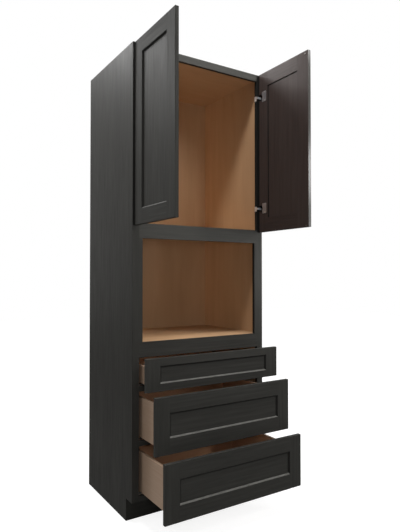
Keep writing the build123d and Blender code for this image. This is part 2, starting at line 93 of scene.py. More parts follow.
# Depth of the relief, in metres: of stained wood, of pale wood and of fine textures.
STAINED_RELIEF = 0.00006
PALE_RELIEF = 0.00004
FINE_RELIEF = 0.00001
MOULDED_RELIEF = 0.00002

# The camera of the photograph: its place, and its tilt and turn in degrees.
CAMERA_PLACE = (-1.47680, -2.39083, 1.24677)
CAMERA_TILT = 1.1602
CAMERA_TURN = -32.4875

# A face looks forward where its normal's Y is under this.
FORWARD = -0.6
# Further than any panel reaches from the cabinet's middle.
BEYOND = 2.0
WHITE = (1.0, 1.0, 1.0)
# The turn that brings grain along X, Y or Z to run along Z, and the axes themselves.
TURNS = {"X": (0.0, -math.pi / 2, 0.0), "Y": (math.pi / 2, 0.0, 0.0), "Z": (0.0, 0.0, 0.0)}
ALONG = {"X": (1.0, 0.0, 0.0), "Y": (0.0, 1.0, 0.0), "Z": (0.0, 0.0, 1.0)}

# Sockets that the shader groups share.
FLOAT, VECTOR, COLOR = "NodeSocketFloat", "NodeSocketVector", "NodeSocketColor"
PLACE = ("Vector", VECTOR, None)
NORMAL = ("Normal", VECTOR, None)
WOOD_SIZES = (
    ("Band Width", FLOAT, 0.007),
    ("Fibre Width", FLOAT, 0.0012),
    ("Wander", FLOAT, 0.03),
)


def colour(name, words, value):
    """A colour that the user can change."""
    return FloatVectorProperty(
        name=name, description=words, subtype="COLOR", size=3, min=0.0, max=1.0, default=value
    )


def length(name, words, value):
    """A length that the user can change."""
    return FloatProperty(
        name=name, description=words, subtype="DISTANCE", unit="LENGTH", min=0.0, default=value
    )


def watts(name, words, value):
    """A lamp's power that the user can change."""
    return FloatProperty(name=name, description=words, unit="POWER", min=0.0, default=value)


class CabinetFinishes(PropertyGroup):
    """Colours of the cabinet's woods, metals and plastics, and of the painted light and shade on
    them.
    """

    stain: colour(
        "Stain",
        "Charcoal stain of the face frame, the fronts and the outer sides",
        (0.041, 0.040, 0.0362),
    )
    stain_deep: colour(
        "Deep stain", "Stain where it gathers in the grain", (0.024, 0.0233, 0.0211)
    )
    # Painted highlight: a paler colour on the bevels that face up, where light from above falls.
    bevel_highlight: colour(
        "Rubbed stain", "Stain where bevels are rubbed thin", (0.125, 0.122, 0.113)
    )
    # Painted shade: the darkest colour, laid round the sunken panels, in the bevels, on the doors'
    # hinge edges and panel steps, on the stiles' inner edges and beside the open doors.
    painted_shade: colour(
        "Gathered stain", "Stain that gathers round the sunken panels", (0.010, 0.0096, 0.0088)
    )
    inside_stain: colour(
        "Inside stain", "Browner stain on the backs of doors and fronts", (0.057, 0.0438, 0.0403)
    )
    inside_stain_deep: colour(
        "Deep inside stain", "Browner stain where it gathers in the grain", (0.037, 0.0278, 0.0252)
    )
    veneer: colour("Veneer", "Natural veneer inside the case", (0.548, 0.352, 0.203))
    veneer_dark: colour(
        "Dark veneer", "Darker bands of the natural veneer", (0.466, 0.291, 0.160)
    )
    ply_dark: colour("Cross layers", "Darker layers in a board's edge", (0.300, 0.165, 0.085))
    box_wood: colour("Box wood", "Lacquered wood of the drawer boxes", (0.415, 0.300, 0.220))
    box_wood_dark: colour(
        "Dark box wood", "Darker growth rings of the drawer boxes", (0.345, 0.235, 0.162)
    )
    # Painted light: a brighter, redder copy of the box wood on the faces inside the boxes,
    # standing in for warm light bounced there.
    box_inside_lit: colour(
        "Box inside", "Redder lacquer inside the drawer boxes", (0.560, 0.350, 0.220)
    )
    box_inside_lit_dark: colour(
        "Dark box inside", "Darker growth rings inside the drawer boxes", (0.480, 0.280, 0.165)
    )
    plating: colour("Plating", "Zinc plating of the slides and screws", (0.620, 0.620, 0.610))
    hinge_plating: colour(
        "Hinge plating", "Satin nickel plating of the hinge arms", (0.760, 0.790, 0.820)
    )
    cup_plating: colour(
        "Cup plating", "Darker nickel plating of the hinge cups", (0.330, 0.345, 0.375)
    )
    # Painted shade: near black laid inside the hinge cups and on the flanges near a door's hinge
    # edge.
    cup_shade: colour("Cup inside", "Blackened inside of the hinge cups", (0.003, 0.003, 0.003))
    bracket: colour(
        "Bracket plastic", "Moulded plastic of the slides' rear brackets", (0.120, 0.122, 0.125)
    )
    bumper: colour(
        "Bumper rubber", "Soft brown rubber of the door bumpers", (0.060, 0.046, 0.038)
    )


class CabinetSizes(PropertyGroup):
    """Sizes of the figure in the wood, of what use and finishing leave on it, and of the painted
    shade on it.
    """

    stain_band: length(
        "Stained ring width", "Width of one growth ring in the stained wood", 0.007
    )
    veneer_band: length(
        "Veneer band width", "Width of one band in the rotary-cut veneer", 0.034
    )
    box_band: length("Box ring width", "Width of one growth ring in the drawer boxes", 0.005)
    fibre: length("Fibre width", "Width of the finest streaks along the grain", 0.0012)
    ply: length("Layer thickness", "Thickness of one layer of the plywood", 0.0018)
    # Painted shade in a strip round a sunken panel.
    recess_shade_width: length("Gathered strip", "Width of the darker strip round a sunken panel", 0.006)
    # Painted shade covers the flanges nearer the hinge edge than this.
    bright_from: length(
        "Bright flange",
        "Distance from a door's hinge edge at which its hinge flanges are bright",
        0.033,
    )
    free_edge: length("Free edge", "Depth of the polished free edge of a door", 0.010)
    # Painted shade on a door's hinge edge.
    hinge_shade: length("Hinge edge", "Depth of the darker hinge edge of a door", 0.008)
    # The doors' heads carry painted shade as well as more roughness.
    head: length("Door head", "Height of the darker, more matt heads of the doors", 0.42)
    full_head: length("Full head", "Height of a door's head that is darkest throughout", 0.12)


class CabinetStudio(PropertyGroup):
    """Camera, floor and lamps."""

    floor: colour("Floor", "Pale floor", (0.42, 0.42, 0.42))
    glow: FloatProperty(
        name="Floor glow",
        description="Light that the camera sees on the floor under the object, where 1 is white",
        min=0.0,
        default=0.86,
    )
    pale_to: length("Shadow's reach", "Distance to which the floor shows the full shadow", 1.1)
    white_from: length("White from", "Distance at which the floor has run out to white", 2.4)
    room: FloatProperty(
        name="Room light", description="Even light from all round", min=0.0, default=0.142
    )
    key: watts("Key lamp", "Lamp high in front, which lights the doorway's right wall", 41.2)
    right_high: watts("High right lamp", "Lamp high in front on the right", 23.0)
    right_far: watts("Far right lamp", "Lamp far to the right, level with the drawers", 22.1)
    right_rim: watts(
        "Rim lamp",
        "Lamp far to the right and higher, which the edges of the doors reflect",
        25.6,
    )
    right_near: watts("Near right lamp", "Small lamp beside the middle rail", 0.95)
    low_front: watts(
        "Low front lamp", "Lamp low in front on the left, which shines into the drawers", 8.5
    )
    left: watts("Left lamp", "Lamp on the left", 9.4)
    left_back: watts(
        "Left back lamp", "Lamp high behind on the left, which shines on the outer side", 121.0
    )
    lens: FloatProperty(
        name="Lens",
        description="Focal length on a 36 mm frame",
        unit="CAMERA",
        min=1.0,
        default=33.711,
    )


def fill(tree, socket, value):
    """Give a socket another node's socket, or a number, a vector or a colour."""
    if isinstance(value, bpy.types.NodeSocket):
        tree.links.new(value, socket)
    elif socket.type == "RGBA":
        socket.default_value = (*value[:3], 1.0)
    else:
        socket.default_value = value


def add_node(tree, kind, inputs=(), **settings):
    """Add a shader node, with its settings and what its inputs are given."""
    node = tree.nodes.new(kind)
    for name, value in settings.items():
        setattr(node, name, value)
    for name, value in dict(inputs).items():
        fill(tree, node.inputs[name], value)
    return node


def maths(tree, operation, first, second=0.0):
    """One sum on two numbers or sockets."""
    return add_node(
        tree, "ShaderNodeMath", {0: first, 1: second}, operation=operation
    ).outputs[0]


def vectors(tree, operation, first, second=None):
    """One sum on one or two vectors, as the outputs of its node."""
    inputs = {0: first} if second is None else {0: first, 1: second}
    return add_node(tree, "ShaderNodeVectorMath", inputs, operation=operation).outputs


def split(tree, vector):
    """The X, Y and Z of a vector."""
    return add_node(tree, "ShaderNodeSeparateXYZ", {0: vector}).outputs


def noise(tree, vector, scale, detail=2.0, roughness=0.5):
    """Soft noise between 0 and 1."""
    inputs = {"Vector": vector, "Scale": scale, "Detail": detail, "Roughness": roughness}
    return add_node(tree, "ShaderNodeTexNoise", inputs).outputs[0]


def span(tree, value, low, high, out_low=0.0, out_high=1.0):
    """A value moved from one range to another, and held inside it."""
    ends = {"From Min": low, "From Max": high, "To Min": out_low, "To Max": out_high}
    return add_node(tree, "ShaderNodeMapRange", {"Value": value, **ends}).outputs["Result"]


def blend_colours(tree, amount, first, second, kind="MIX"):
    """Two colours mixed by an amount."""
    inputs = {0: amount, 6: first, 7: second}
    return add_node(
        tree, "ShaderNodeMix", inputs, data_type="RGBA", blend_type=kind
    ).outputs[2]


def new_group(name, takes, gives):
    """A shader group with named sockets, what it takes, and its output node."""
    group = bpy.data.node_groups.new(name, "ShaderNodeTree")
    for socket, kind, value in takes:
        made = group.interface.new_socket(name=socket, in_out="INPUT", socket_type=kind)
        if value is not None:
            made.default_value = value
    for socket, kind in gives:
        group.interface.new_socket(name=socket, in_out="OUTPUT", socket_type=kind)
    return group, group.nodes.new("NodeGroupInput").outputs, group.nodes.new("NodeGroupOutput")


def give(group, gives, **results):
    """Link a group's results to its output node."""
    for name, socket in results.items():
        group.links.new(socket, gives.inputs[name])


def put_group(tree, name, inputs):
    """The outputs of a shader group placed in a tree."""
    group = bpy.data.node_groups[name]
    return add_node(tree, "ShaderNodeGroup", inputs, node_tree=group).outputs


def wood_figure():
    """Growth bands, fibres and blotches of wood or veneer whose grain runs along Z."""
    group, takes, gives = new_group(
        "wood_figure",
        (PLACE, *WOOD_SIZES),
        (("Bands", FLOAT), ("Fibres", FLOAT), ("Blotches", FLOAT)),
    )
    place = takes["Vector"]

    def drawn_out(start, share):
        """Coordinates in which the figure is drawn out along the grain."""
        return vectors(group, "MULTIPLY", start, (1.0, 1.0, share))[0]

    slow = noise(group, drawn_out(place, 0.11), scale=5.0, detail=3.0, roughness=0.55)
    drift = maths(group, "MULTIPLY", maths(group, "SUBTRACT", slow, 0.5), takes["Wander"])
    from_heart = vectors(group, "ADD", place, (0.37, 0.61, 0.0))[0]
    radius = vectors(group, "LENGTH", drawn_out(from_heart, 0.04))["Value"]
    ring = maths(group, "DIVIDE", maths(group, "ADD", radius, drift), takes["Band Width"])
    height = maths(group, "MULTIPLY", split(group, place)["Z"], 1.6)
    spot = add_node(group, "ShaderNodeCombineXYZ", {"X": ring, "Z": height}).outputs[0]
    bands = span(group, noise(group, spot, scale=1.0), 0.34, 0.68)
    fibre_count = maths(group, "DIVIDE", 1.0, takes["Fibre Width"])
    streaks = noise(group, drawn_out(place, 0.016), fibre_count, roughness=0.6)
    wide = noise(group, drawn_out(place, 0.05), scale=95.0)
    both = maths(group, "MULTIPLY", maths(group, "ADD", streaks, wide), 0.5)
    fibres = span(group, both, 0.36, 0.64)
    patches = noise(group, drawn_out(place, 0.3), scale=7.0, detail=3.0)
    blotches = span(group, patches, 0.3, 0.7)
    give(group, gives, Bands=bands, Fibres=fibres, Blotches=blotches)


def coloured_wood(name, bands, fibres, blotches, smooth, rough):
    """A group that colours the figure: two tones mixed by bands, fibres and blotches."""
    group, takes, gives = new_group(
        name,
        (PLACE, ("Light", COLOR, None), ("Dark", COLOR, None), *WOOD_SIZES),
        (("Color", COLOR), ("Roughness", FLOAT), ("Height", FLOAT)),
    )
    shared = ("Vector", "Band Width", "Fibre Width", "Wander")
    grain = put_group(group, "wood_figure", {key: takes[key] for key in shared})
    tone = maths(group, "MULTIPLY", grain["Bands"], bands)
    tone = maths(group, "ADD", tone, maths(group, "MULTIPLY", grain["Fibres"], fibres))
    tone = maths(group, "ADD", tone, maths(group, "MULTIPLY", grain["Blotches"], blotches))
    ridges = maths(group, "MULTIPLY", grain["Bands"], 0.3)
    give(
        group,
        gives,
        Color=blend_colours(group, tone, takes["Light"], takes["Dark"]),
        Roughness=span(group, grain["Fibres"], 0.0, 1.0, smooth, rough),
        Height=maths(group, "ADD", ridges, grain["Fibres"]),
    )


def ply_layers():
    """A mask of a board's edges, and the light and dark layers that show there."""
    group, takes, gives = new_group(
        "ply_layers",
        (PLACE, NORMAL, ("Across", VECTOR, ALONG["Z"]), ("Layer", FLOAT, 0.0018)),
        (("Edge", FLOAT), ("Layers", FLOAT)),
    )
    place, across = takes["Vector"], takes["Across"]
    facing = vectors(group, "DOT_PRODUCT", takes["Normal"], across)["Value"]
    edge = maths(group, "LESS_THAN", maths(group, "ABSOLUTE", facing), 0.5)
    level = vectors(group, "DOT_PRODUCT", place, across)["Value"]
    waver = maths(group, "MULTIPLY", noise(group, place, scale=30.0), 0.0004)
    count = maths(group, "DIVIDE", maths(group, "ADD", level, waver), takes["Layer"])
    wave = maths(group, "SINE", maths(group, "MULTIPLY", count, math.pi))
    rough_cut = maths(group, "MULTIPLY", noise(group, place, scale=900.0), 0.35)
    layers = maths(group, "ADD", span(group, wave, -0.35, 0.35, 0.0, 0.75), rough_cut)
    give(group, gives, Edge=edge, Layers=layers)


def bevel_light_and_shade():
    """Masks of the bevels: those that face up get a painted highlight, unevenly, and the others
    painted shade.
    """
    group, takes, gives = new_group(
        "bevel_light_and_shade", (PLACE, NORMAL), (("Rubbed", FLOAT), ("Held", FLOAT))
    )
    size = split(group, vectors(group, "ABSOLUTE", takes["Normal"])[0])
    most = maths(group, "MAXIMUM", size["X"], maths(group, "MAXIMUM", size["Y"], size["Z"]))
    slant = span(group, most, 0.745, 0.715)
    faces_up = span(group, split(group, takes["Normal"])["Z"], 0.3, 0.6)
    uneven_light = noise(group, takes["Vector"], scale=26.0, detail=3.0, roughness=0.6)
    uneven = span(group, uneven_light, 0.3, 0.6, 0.55, 1.0)
    highlit = maths(group, "MULTIPLY", maths(group, "MULTIPLY", slant, faces_up), uneven)
    bevel_shade = maths(group, "MULTIPLY", slant, maths(group, "SUBTRACT", 1.0, faces_up))
    give(group, gives, Rubbed=highlit, Held=bevel_shade)


def recess_shade():
    """A mask of the strip of painted shade round a sunken panel, from its far corners."""
    group, takes, gives = new_group(
        "recess_shade",
        (
            PLACE,
            ("Low", VECTOR, (0.0, 0.0, 0.0)),
            ("High", VECTOR, (1.0, 1.0, 1.0)),
            ("Width", FLOAT, 0.005),
        ),
        (("Gathered", FLOAT),),
    )
    from_low = vectors(group, "SUBTRACT", takes["Vector"], takes["Low"])[0]
    from_high = vectors(group, "SUBTRACT", takes["High"], takes["Vector"])[0]
    gap = split(group, vectors(group, "MINIMUM", from_low, from_high)[0])
    least = maths(group, "MINIMUM", gap["X"], maths(group, "MINIMUM", gap["Y"], gap["Z"]))
    uneven = span(group, noise(group, takes["Vector"], scale=40.0), 0.3, 0.7, 0.55, 0.85)
    share = maths(group, "DIVIDE", least, takes["Width"])
    give(group, gives, Gathered=maths(group, "MULTIPLY", span(group, share, 1.0, 0.3), uneven))


def inward_faces():
    """Masks of the faces that look to the cabinet's middle, back or up, or along its depth."""
    group, takes, gives = new_group(
        "inward_faces",
        (PLACE, NORMAL),
        (("Middle", FLOAT), ("Back", FLOAT), ("Up", FLOAT), ("Depthwise", FLOAT)),
    )
    normal = split(group, takes["Normal"])
    side = maths(group, "SIGN", split(group, takes["Vector"])["X"])
    give(
        group,
        gives,
        Middle=maths(group, "LESS_THAN", maths(group, "MULTIPLY", normal["X"], side), -0.5),
        Back=maths(group, "GREATER_THAN", normal["Y"], 0.5),
        Up=maths(group, "GREATER_THAN", normal["Z"], 0.5),
        Depthwise=maths(group, "GREATER_THAN", maths(group, "ABSOLUTE", normal["Y"]), 0.5),
    )


def running_tone():
    """A colour times a tone that runs along an axis from one place to another."""
    group, takes, gives = new_group(
        "running_tone",
        (
            PLACE,
            ("Color", COLOR, None),
            ("Along", VECTOR, ALONG["X"]),
            ("Start", FLOAT, 0.0),
            ("End", FLOAT, 1.0),
            ("First", FLOAT, 1.0),
            ("Last", FLOAT, 1.0),
        ),
        (("Color", COLOR),),
    )
    level = vectors(group, "DOT_PRODUCT", takes["Vector"], takes["Along"])["Value"]
    tone = span(group, level, *(takes[key] for key in ("Start", "End", "First", "Last")))
    give(group, gives, Color=blend_colours(group, 1.0, takes["Color"], tone, "MULTIPLY"))


def door_wear_and_shade():
    """Masks of a door between two far corners: its free edge, its places of painted shade and its
    outer head.

    The free edge is the right door's, the one that is handled. The painted shade is on the hinge
    edge and the step round the panel, on the half of the door's thickness that faces in."""
    group, takes, gives = new_group(
        "door_wear_and_shade",
        (
            PLACE,
            NORMAL,
            ("Low", VECTOR, (0.0, 0.0, 0.0)),
            ("High", VECTOR, (1.0, 1.0, 1.0)),
            ("Free Edge", FLOAT, 0.010),
            ("Hinge Shade", FLOAT, 0.008),
            ("Head", FLOAT, 0.42),
        ),
        (("Handled", FLOAT), ("Dark", FLOAT), ("Outer Head", FLOAT)),
    )
    place, normal = takes["Vector"], takes["Normal"]
    at, facing = split(group, place), split(group, normal)
    low, high = split(group, takes["Low"]), split(group, takes["High"])
    forward = maths(group, "LESS_THAN", facing["Y"], FORWARD)
    free_to = maths(group, "ADD", low["Y"], takes["Free Edge"])
    free = maths(group, "MULTIPLY", forward, maths(group, "LESS_THAN", at["Y"], free_to))
    handled = maths(group, "MULTIPLY", free, maths(group, "GREATER_THAN", at["X"], 0.0))
    step = maths(group, "SUBTRACT", forward, free)
    hinge_from = maths(group, "SUBTRACT", high["Y"], takes["Hinge Shade"])
    hinge_shade = maths(group, "GREATER_THAN", at["Y"], hinge_from)
    middle = maths(group, "MULTIPLY", maths(group, "ADD", low["X"], high["X"]), 0.5)
    inner_half = maths(group, "LESS_THAN", maths(group, "ABSOLUTE", at["X"]), middle)
    dark = maths(group, "MULTIPLY", maths(group, "MAXIMUM", step, hinge_shade), inner_half)
    inner = put_group(group, "inward_faces", {"Vector": place, "Normal": normal})["Middle"]
    head_from = maths(group, "SUBTRACT", high["Z"], takes["Head"])
    head = span(group, at["Z"], head_from, high["Z"])
    outer_head = maths(group, "MULTIPLY", head, maths(group, "SUBTRACT", 1.0, inner))
    give(group, gives, **{"Handled": handled, "Dark": dark, "Outer Head": outer_head})


def fine_texture():
    """Small uneven roughness and height, for plating, plastic and rubber."""
    group, takes, gives = new_group(
        "fine_texture",
        (PLACE, ("Size", FLOAT, 0.001), ("Smooth", FLOAT, 0.3), ("Rough", FLOAT, 0.5)),
        (("Shade", FLOAT), ("Roughness", FLOAT), ("Height", FLOAT)),
    )
    grain_count = maths(group, "DIVIDE", 1.0, takes["Size"])
    broad = noise(group, takes["Vector"], scale=60.0)
    more = maths(group, "SUBTRACT", takes["Rough"], takes["Smooth"])
    rough = maths(group, "ADD", takes["Smooth"], maths(group, "MULTIPLY", more, broad))
    give(
        group,
        gives,
        Shade=span(group, broad, 0.3, 0.7),
        Roughness=rough,
        Height=noise(group, takes["Vector"], grain_count, detail=3.0, roughness=0.6),
    )


def surface(name, specular, **sockets):
    """A new material with its shader, and values set on the shader's own sockets."""
    material = bpy.data.materials.new(name)
    material.use_nodes = True
    shader = material.node_tree.nodes["Principled BSDF"]
    shader.inputs["Specular IOR Level"].default_value = specular
    for socket, value in sockets.items():
        shader.inputs[socket.replace("_", " ")].default_value = value
    return material, material.node_tree, shader


def dress(tree, shader, shown, rough, height, relief):
    """Feed a shader its colour, its roughness and the bump of its relief."""
    bump = add_node(tree, "ShaderNodeBump", {"Height": height, "Distance": relief})
    fill(tree, shader.inputs["Base Color"], shown)
    fill(tree, shader.inputs["Roughness"], rough)
    fill(tree, shader.inputs["Normal"], bump.outputs["Normal"])


def reopen(material):
    """A finished material's tree, its shader, and the place and normal that it reads."""
    tree = material.node_tree
    read = tree.nodes["Texture Coordinate"].outputs
    return tree, tree.nodes["Principled BSDF"], read["Object"], read["Normal"]


def tint_over(tree, shader, amount, tint):
    """Lay a colour over what a shader's base colour shows."""
    shown = shader.inputs["Base Color"].links[0].from_socket
    fill(tree, shader.inputs["Base Color"], blend_colours(tree, amount, shown, tint))


def along_grain(tree, axis):
    """Object coordinates turned so that the grain runs along Z, then unturned, and the normal."""
    read = tree.nodes.new("ShaderNodeTexCoord").outputs
    inputs = {"Vector": read["Object"], "Rotation": TURNS[axis]}
    turned = add_node(tree, "ShaderNodeMapping", inputs).outputs["Vector"]
    return turned, read["Object"], read["Normal"]


def wood(tree, kind, grain, light, dark, band, fibre, wander):
    """Coloured wood along a grain, as the outputs of its group."""
    inputs = {"Vector": grain, "Light": light, "Dark": dark}
    inputs.update({"Band Width": band, "Fibre Width": fibre, "Wander": wander})
    return put_group(tree, kind, inputs)


def tone_along(axis, start, end, first, last):
    """A tone that runs along an axis from one place to another, for the group running_tone."""
    return {"Along": ALONG[axis], "Start": start, "End": end, "First": first, "Last": last}


def stained_wood(
    name,
    axis,
    finishes,
    sizes,
    inward=None,
    inside=None,
    sunken=None,
    fade=None,
    lacquer=SATIN_LACQUER,
    highlit=1.0,
):
    """Solid wood under charcoal stain, browner on the faces that look inward, with painted light
    on its bevels.

    Inward names a mask of inward_faces, and inside gives those faces' own light and dark colour.
    A panel sunken in its frame is given by the two far corners of what shows of it, and gets a
    strip of painted shade round it. The fade is a tone_along of painted light and shade. Lacquer
    is the roughness of the coat that a door is polished to, and highlit is how strong the painted
    highlight on the bevels that face up is; the other bevels get painted shade."""
    material, tree, shader = surface(name, STAIN_GLOSS, Coat_Roughness=lacquer)
    grain, place, normal = along_grain(tree, axis)
    figure = (sizes.stain_band, sizes.fibre, STAINED_WANDER)
    stain = wood(tree, "stained_grain", grain, finishes.stain, finishes.stain_deep, *figure)
    shown = stain["Color"]
    if fade is not None:
        shown = put_group(tree, "running_tone", {"Vector": place, "Color": shown, **fade})["Color"]
    if inward is not None:
        light, dark = inside or (finishes.inside_stain, finishes.inside_stain_deep)
        brown = wood(tree, "stained_grain", grain, light, dark, *figure)
        looks_in = put_group(tree, "inward_faces", {"Vector": place, "Normal": normal})[inward]
        shown = blend_colours(tree, looks_in, shown, brown["Color"])
    # Painted light on the bevels: a highlight on those that face up, and shade on the others.
    edges = put_group(tree, "bevel_light_and_shade", {"Vector": place, "Normal": normal})
    uneven_light = maths(tree, "MULTIPLY", edges["Rubbed"], highlit)
    shown = blend_colours(tree, uneven_light, shown, finishes.bevel_highlight)
    bevel_shade = maths(tree, "MULTIPLY", edges["Held"], BEVEL_SHADE)
    shown = blend_colours(tree, bevel_shade, shown, finishes.painted_shade)
    # Painted shade in a strip round a sunken panel.
    if sunken is not None:
        low, high = sunken
        strip = {"Vector": place, "Low": low, "High": high, "Width": sizes.recess_shade_width}
        recess_shadow = put_group(tree, "recess_shade", strip)["Gathered"]
        shown = blend_colours(tree, recess_shadow, shown, finishes.painted_shade)
    dress(tree, shader, shown, stain["Roughness"], stain["Height"], STAINED_RELIEF)
    return material


def polish_and_shade_door(material, finishes, sizes, sheen, matt=0.0):
    """Finish a door as its use leaves it, and paint shade on it.

    Its inner side and the right door's free edge are polished, its hinge edge and the steps
    round its panel get painted shade in the darkest colour, and its outer face gains up to
    matt in roughness at its head."""
    tree, shader, place, normal = reopen(material)
    wear = put_group(
        tree,
        "door_wear_and_shade",
        {
            "Vector": place,
            "Normal": normal,
            "Low": DOOR_LOW,
            "High": DOOR_HIGH,
            "Free Edge": sizes.free_edge,
            "Hinge Shade": sizes.hinge_shade,
            "Head": sizes.head,
        },
    )
    inner = put_group(tree, "inward_faces", {"Vector": place, "Normal": normal})["Middle"]
    edge_coat = maths(tree, "MULTIPLY", wear["Handled"], EDGE_SHEEN)
    inner_coat = maths(tree, "MULTIPLY", inner, sheen)
    fill(tree, shader.inputs["Coat Weight"], maths(tree, "ADD", edge_coat, inner_coat))
    rough = shader.inputs["Roughness"].links[0].from_socket
    matt_head = maths(tree, "MULTIPLY", wear["Outer Head"], matt)
    fill(tree, shader.inputs["Roughness"], maths(tree, "ADD", rough, matt_head))
    # Painted shade on the hinge edge and the steps round the panel, in the darkest colour.
    dark = maths(tree, "MULTIPLY", wear["Dark"], DOOR_SHADE)
    tint_over(tree, shader, dark, finishes.painted_shade)


def shade_beside_doors(material, finishes):
    """Painted shadow of the hung doors, in the darkest colour, on the strips of the stiles' fronts
    that they leave free.
    """
    tree, shader, place, normal = reopen(material)
    beside = maths(tree, "GREATER_THAN", split(tree, place)["Z"], DOOR_LOW.z)
    forward = maths(tree, "LESS_THAN", split(tree, normal)["Y"], FORWARD)
    strip = maths(tree, "MULTIPLY", beside, forward)
    dark = maths(tree, "MULTIPLY", strip, DOOR_SHADE)
    tint_over(tree, shader, dark, finishes.painted_shade)


def veneered_board(name, axis, across, finishes, sizes, gloss, outside=None, fade=None):
    """Plywood with natural veneer, and with its layers showing at the edges.

    It is stained on its front edge and on faces further out along X than outside, where that
    is given. The fade is a tone_along of painted light and shade on the veneer."""
    material, tree, shader = surface(name, gloss)
    grain, place, normal = along_grain(tree, axis)
    figure = (sizes.veneer_band, sizes.fibre, VENEER_WANDER)
    veneer = wood(tree, "natural_grain", grain, finishes.veneer, finishes.veneer_dark, *figure)
    shown = veneer["Color"]
    # Painted light and shade along an axis, where a fade is given.
    if fade is not None:
        shown = put_group(tree, "running_tone", {"Vector": place, "Color": shown, **fade})["Color"]
    board = {"Vector": place, "Normal": normal, "Across": ALONG[across], "Layer": sizes.ply}
    layers = put_group(tree, "ply_layers", board)
    cut = blend_colours(tree, layers["Layers"], finishes.veneer, finishes.ply_dark)
    shown = blend_colours(tree, layers["Edge"], shown, cut)
    if outside is not None:
        stain = wood(tree, "stained_grain", grain, finishes.stain, finishes.stain_deep, *figure)
        from_middle = maths(tree, "ABSOLUTE", split(tree, place)["X"])
        outer = maths(tree, "GREATER_THAN", from_middle, outside)
        forward = maths(tree, "LESS_THAN", split(tree, normal)["Y"], FORWARD)
        stained = maths(tree, "MAXIMUM", outer, forward)
        shown = blend_colours(tree, stained, shown, stain["Color"])
    dress(tree, shader, shown, veneer["Roughness"], veneer["Height"], PALE_RELIEF)
    return material


def lacquered_box_wood(name, axis, inner, finishes, sizes):
    """Pale solid wood of the drawer boxes, with painted light on the faces that look into the box:
    a brighter, redder copy of the wood.
    """
    material, tree, shader = surface(name, BOX_GLOSS)
    grain, place, normal = along_grain(tree, axis)
    figure = (sizes.box_band, sizes.fibre, BOX_WANDER)
    pale, redder = (
        wood(tree, "natural_grain", grain, light, dark, *figure)
        for light, dark in (
            (finishes.box_wood, finishes.box_wood_dark),
            (finishes.box_inside_lit, finishes.box_inside_lit_dark),
        )
    )
    # Painted light on the faces inside the box.
    looks_in = put_group(tree, "inward_faces", {"Vector": place, "Normal": normal})[inner]
    shown = blend_colours(tree, looks_in, pale["Color"], redder["Color"])
    dress(tree, shader, shown, pale["Roughness"], pale["Height"], PALE_RELIEF)
    return material


def textured(name, base, size, smooth, rough, gloss=METAL_GLOSS, relief=FINE_RELIEF, **sockets):
    """Metal, plastic or rubber with a fine uneven surface."""
    material, tree, shader = surface(name, gloss, **sockets)
    place = tree.nodes.new("ShaderNodeTexCoord").outputs["Object"]
    inputs = {"Vector": place, "Size": size, "Smooth": smooth, "Rough": rough}
    texture = put_group(tree, "fine_texture", inputs)
    darker = tuple(PATCHES * part for part in base)
    shown = blend_colours(tree, texture["Shade"], darker, base)
    dress(tree, shader, shown, texture["Roughness"], texture["Height"], relief)
    return material


def nickel(name, base):
    """Satin nickel plating."""
    return textured(name, base, size=0.0006, smooth=0.34, rough=0.46, Metallic=0.75)


def cup_metal(finishes, sizes):
    """Hinge cups: bright where the flange stands on the door's back, with painted shade inside the
    cup and on the flange near the door's hinge edge.
    """
    material = nickel("hinge_cup_plating", finishes.cup_plating)
    tree, shader, place, _ = reopen(material)
    at = split(tree, place)
    inside_door = DOOR_LOW.x + HAIR
    sunk = maths(tree, "GREATER_THAN", maths(tree, "ABSOLUTE", at["X"]), inside_door)
    near_hinge = maths(tree, "GREATER_THAN", at["Y"], DOOR_HIGH.y - sizes.bright_from)
    # Painted shade inside the cup and on the flange near the hinge edge.
    tint_over(tree, shader, maths(tree, "MAXIMUM", sunk, near_hinge), finishes.cup_shade)
    return material


def finish(material, *nodes):
    """Give CAD nodes a material in their own slots."""
    for name in nodes:
        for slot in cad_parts[name].material_slots:
            slot.material = material


def settings(context):
    """The scene's finishes, sizes and studio."""
    scene = context.scene
    return scene.cabinet_finishes, scene.cabinet_sizes, scene.cabinet_studio


def shown_panel(node, through):
    """Far corners of what shows of a panel in its grooves, without its foot.

    Through is the axis of its thickness, along which no corner limits it."""
    low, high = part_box(node)
    low, high = Vector(low) + IN_GROOVE, Vector(high) - IN_GROOVE
    setattr(low, through, -BEYOND)
    setattr(high, through, BEYOND)
    low.z = -BEYOND
    return low, high


def lay_floor(scene, studio):
    """A pale floor that keeps the object's shadow and runs out to white."""
    mesh = bpy.data.meshes.new("floor")
    grid = bmesh.new()
    bmesh.ops.create_grid(grid, x_segments=1, y_segments=1, size=12.0)
    grid.to_mesh(mesh)
    grid.free()
    floor = bpy.data.objects.new("floor", mesh)
    scene.collection.objects.link(floor)
    material = bpy.data.materials.new("pale_floor")
    material.use_nodes = True
    tree = material.node_tree
    tree.nodes.clear()
    place = tree.nodes.new("ShaderNodeTexCoord").outputs["Object"]
    away = vectors(tree, "LENGTH", place)["Value"]
    strength = span(tree, away, studio.pale_to, studio.white_from, studio.glow, 1.0)
    glow = add_node(tree, "ShaderNodeEmission", {"Color": WHITE, "Strength": strength})
    paint = add_node(tree, "ShaderNodeBsdfDiffuse", {"Color": studio.floor})
    seen = add_node(tree, "ShaderNodeAddShader", {0: paint.outputs[0], 1: glow.outputs[0]})
    path = tree.nodes.new("ShaderNodeLightPath").outputs
    rays = {0: path["Is Camera Ray"], 1: paint.outputs[0], 2: seen.outputs[0]}
    choose = add_node(tree, "ShaderNodeMixShader", rays)
    add_node(tree, "ShaderNodeOutputMaterial", {"Surface": choose.outputs[0]})
    mesh.materials.append(material)


